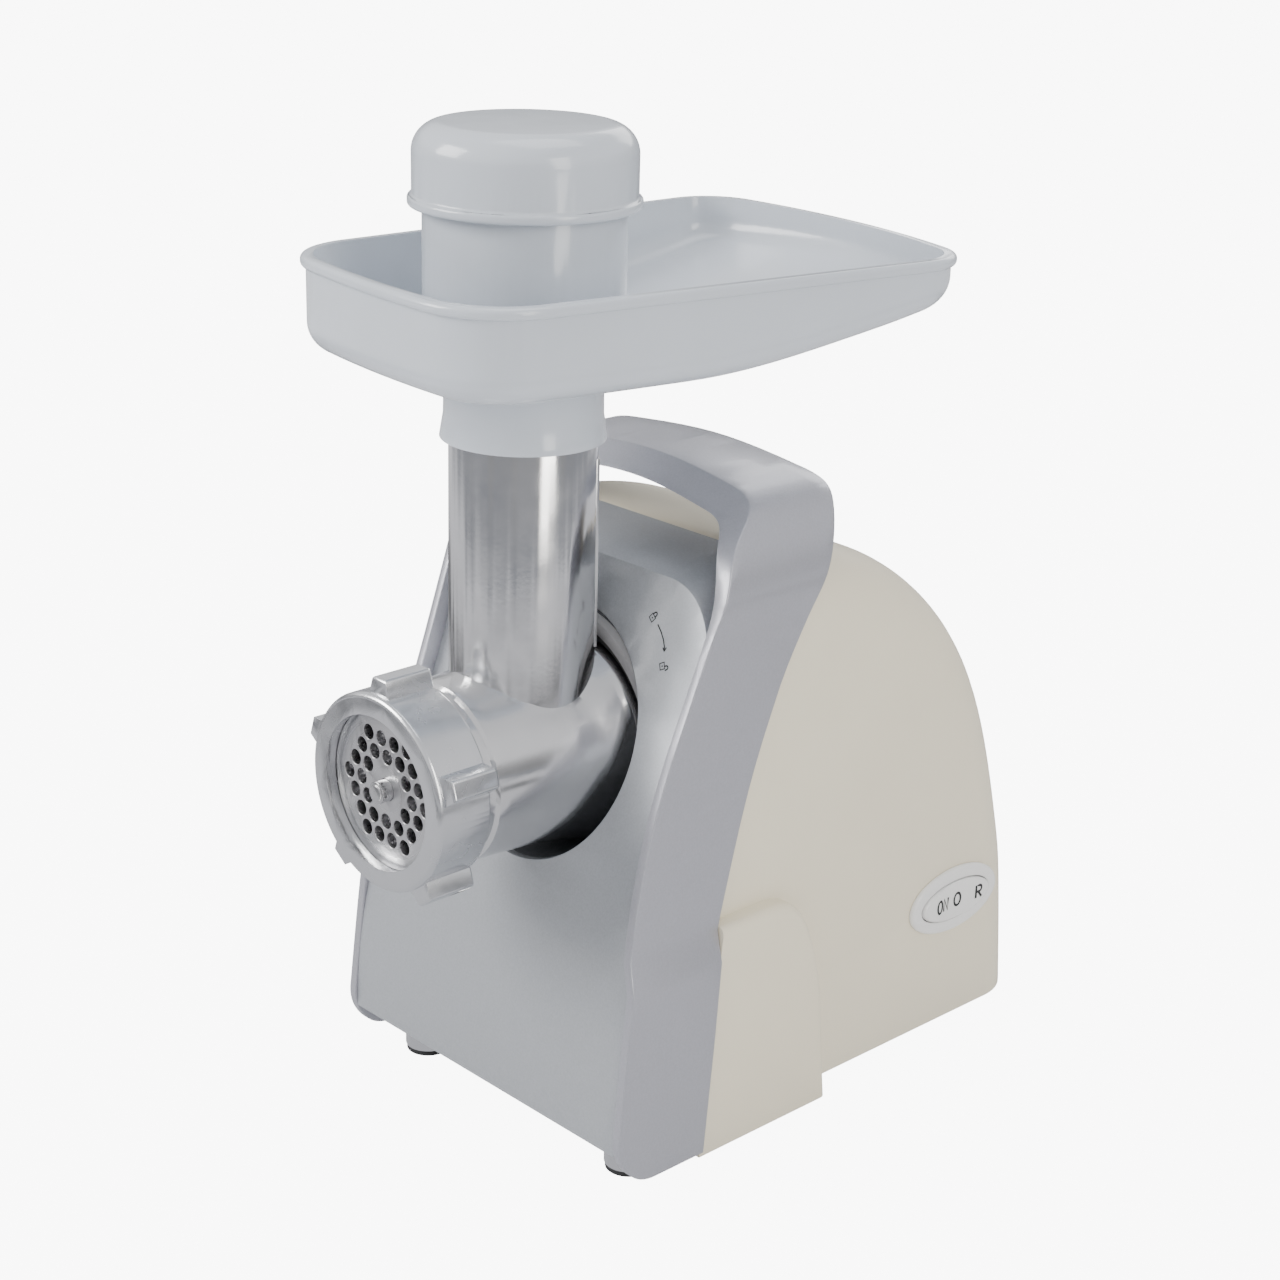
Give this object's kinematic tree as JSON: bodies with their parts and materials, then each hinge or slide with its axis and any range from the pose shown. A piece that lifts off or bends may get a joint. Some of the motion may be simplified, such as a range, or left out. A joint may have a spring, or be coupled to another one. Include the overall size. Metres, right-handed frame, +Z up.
{
  "type": "electric meat grinder",
  "caption": "Tabletop electric meat grinder: waisted motor housing with a top handle, twist-lock metal head with auger, plate and ring nut, feed tray and pusher with storage cup.",
  "frame": {"origin": "bottom centre of the whole box, on the surface the pads stand on", "axes": "+Z up, +Y from the grinder plate to the rear, +X to the right seen from the front; the auger axis runs along Y"},
  "size_m": [0.1475, 0.2582, 0.3342],
  "materials": {
    "head_metal": "polished cast",
    "nut_metal": "satin polished cast",
    "plate_steel": "brushed",
    "auger_metal": "satin cast",
    "steel": "machined",
    "knife_steel": "ground",
    "grey_plastic": "gloss moulded",
    "silver_paint": "satin silver paint",
    "panel_silver": "fine metallic satin",
    "cream_plastic": "satin moulded",
    "dark_plastic": "fine texture",
    "base_plastic": "fine texture",
    "gear_plastic": "moulded",
    "gear_steel": "machined",
    "case_metal": "die cast",
    "bronze": "sintered",
    "lamination": "laminated",
    "copper": "enamelled wire",
    "carbon": "matt",
    "fan_plastic": "moulded",
    "rubber": "matt",
    "white_plastic": "gloss moulded",
    "spring_steel": "bright",
    "foot_chrome": "bright",
    "screw_steel": "zinc plated",
    "film_blue": "gloss"
  },
  "bodies": {
    "root": {"handle_frame": "silver_paint", "front_housing": "panel_silver", "rear_housing": "cream_plastic", "base_plate": "base_plastic", "socket_collar": "dark_plastic", "gear_shafts": "steel", "gearbox_case": "case_metal", "gearbox_cover": "case_metal", "output_bearing": "bronze", "stator_core": "lamination", "field_coils": "copper", "front_motor_bracket": "case_metal", "rear_motor_bracket": "case_metal", "motor_bearings": "bronze", "brush_holders": "fan_plastic", "carbon_brushes": "carbon", "motor_dampers": "rubber", "switch_bezel": "white_plastic", "switch_body": "dark_plastic", "lock_guide": "dark_plastic", "lock_spring": "spring_steel", "front_feet": "foot_chrome", "rear_feet": "base_plastic", "foot_pads": "rubber", "base_screws": "screw_steel", "gearbox_screws": "screw_steel", "capacitor": "film_blue", "wiring_bracket": "base_plastic", "cord_gland": "dark_plastic"},
    "head": {"head_casting": "head_metal", "head_bush": "bronze"},
    "plate": {"grinder_plate": "plate_steel"},
    "nut": {"ring_nut": "nut_metal"},
    "drive": {"auger": "auger_metal", "auger_pin": "steel", "knife": "knife_steel", "drive_shaft": "steel", "output_gear": "gear_steel"},
    "tray": {"feed_tray": "grey_plastic"},
    "pusher_body": {"pusher": "grey_plastic"},
    "cap": {"pusher_cap": "grey_plastic"},
    "gear_2": {"second_gear": "gear_plastic"},
    "gear_1": {"first_gear": "gear_plastic"},
    "armature": {"motor_shaft": "steel", "armature_core": "lamination", "armature_windings": "copper", "commutator": "copper", "cooling_fan": "fan_plastic"},
    "rocker_body": {"rocker": "white_plastic"},
    "button": {"lock_button": "white_plastic"}
  },
  "joints": [
    {"name": "drive_spin", "type": "hinge", "parent": "root", "child": "drive", "pos_m": [-0.00311, -0.0743, 0.1332], "axis": [0, 1, 0], "continuous": true},
    {"name": "gear_2_spin", "type": "hinge", "parent": "root", "child": "gear_2", "pos_m": [0.01689, -0.0143, 0.08957], "axis": [0, 1, 0], "continuous": true},
    {"name": "gear_1_spin", "type": "hinge", "parent": "root", "child": "gear_1", "pos_m": [-0.01724, -0.0143, 0.07735], "axis": [0, 1, 0], "continuous": true},
    {"name": "armature_spin", "type": "hinge", "parent": "root", "child": "armature", "pos_m": [-0.00311, 0.0457, 0.0492], "axis": [0, 1, 0], "continuous": true},
    {"name": "head_turn", "type": "hinge", "parent": "root", "child": "head", "pos_m": [-0.00311, -0.0743, 0.1332], "axis": [0, 1, 0], "range_deg": [0, 18]},
    {"name": "plate_out", "type": "slide", "parent": "head", "child": "plate", "axis": [0, -1, 0], "range_m": [0, 0.009]},
    {"name": "nut_turn", "type": "hinge", "parent": "plate", "child": "nut", "pos_m": [-0.00311, -0.1143, 0.1332], "axis": [0, 1, 0], "range_deg": [0, 1080]},
    {"name": "tray_lift", "type": "slide", "parent": "head", "child": "tray", "axis": [0, 0, 1], "range_m": [0, 0.05]},
    {"name": "pusher_lift", "type": "slide", "parent": "tray", "child": "pusher_body", "axis": [0, 0, 1], "range_m": [0, 0.09]},
    {"name": "cap_lift", "type": "slide", "parent": "pusher_body", "child": "cap", "axis": [0, 0, 1], "range_m": [0, 0.03]},
    {"name": "rocker_tilt", "type": "hinge", "parent": "root", "child": "rocker_body", "pos_m": [0.05689, 0.0817, 0.0542], "axis": [0, 0, 1], "range_deg": [-6, 6]},
    {"name": "lock_press", "type": "slide", "parent": "root", "child": "button", "axis": [0, 1, 0], "range_m": [0, 0.004], "stiffness_N_per_m": 400, "springref_m": -0.002, "deforming": ["lock_spring"]}
  ],
  "couplings": [
    {"joint": "gear_1_spin", "follows": "armature_spin", "ratio": -0.16667},
    {"joint": "gear_2_spin", "follows": "armature_spin", "ratio": 0.034722},
    {"joint": "drive_spin", "follows": "armature_spin", "ratio": -0.011574},
    {"joint": "nut_turn", "follows": "plate_out", "rad_per_m": 2094.4}
  ]
}
